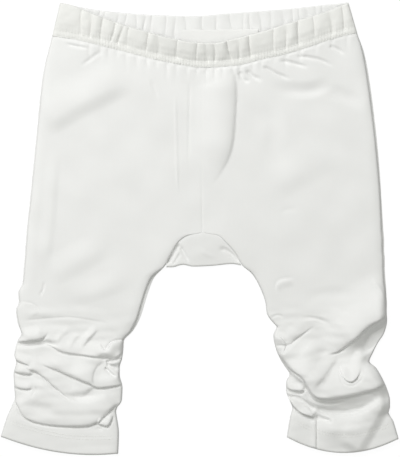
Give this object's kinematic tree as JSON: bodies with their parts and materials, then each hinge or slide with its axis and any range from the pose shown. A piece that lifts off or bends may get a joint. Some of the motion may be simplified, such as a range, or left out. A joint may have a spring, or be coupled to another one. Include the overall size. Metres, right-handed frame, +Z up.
{
  "type": "baby leggings laid flat",
  "caption": "Baby leggings in plain jersey, laid flat, with a gathered elastic waistband, a crotch gusset and ruched lower legs that end in turned hems.",
  "frame": {"origin": "centre of the garment's footprint, on the surface it lies on", "axes": "+Z up from the surface, +Y towards the waist, +X to the right of a viewer who looks down on the front"},
  "size_m": [0.2788, 0.317, 0.013],
  "materials": {
    "jersey": "matt white cotton jersey with a little stretch, fine knit",
    "waistband": "the same jersey, doubled over elastic and gathered",
    "label": "smooth woven ribbon, bare"
  },
  "bodies": {
    "root": {"front_left": "jersey", "front_right": "jersey", "back_left": "jersey", "back_right": "jersey", "gusset": "jersey", "waistband_front": "waistband", "waistband_back": "waistband", "hem_front_left": "jersey", "hem_front_right": "jersey", "hem_back_left": "jersey", "hem_back_right": "jersey", "label": "label"}
  },
  "joints": []
}
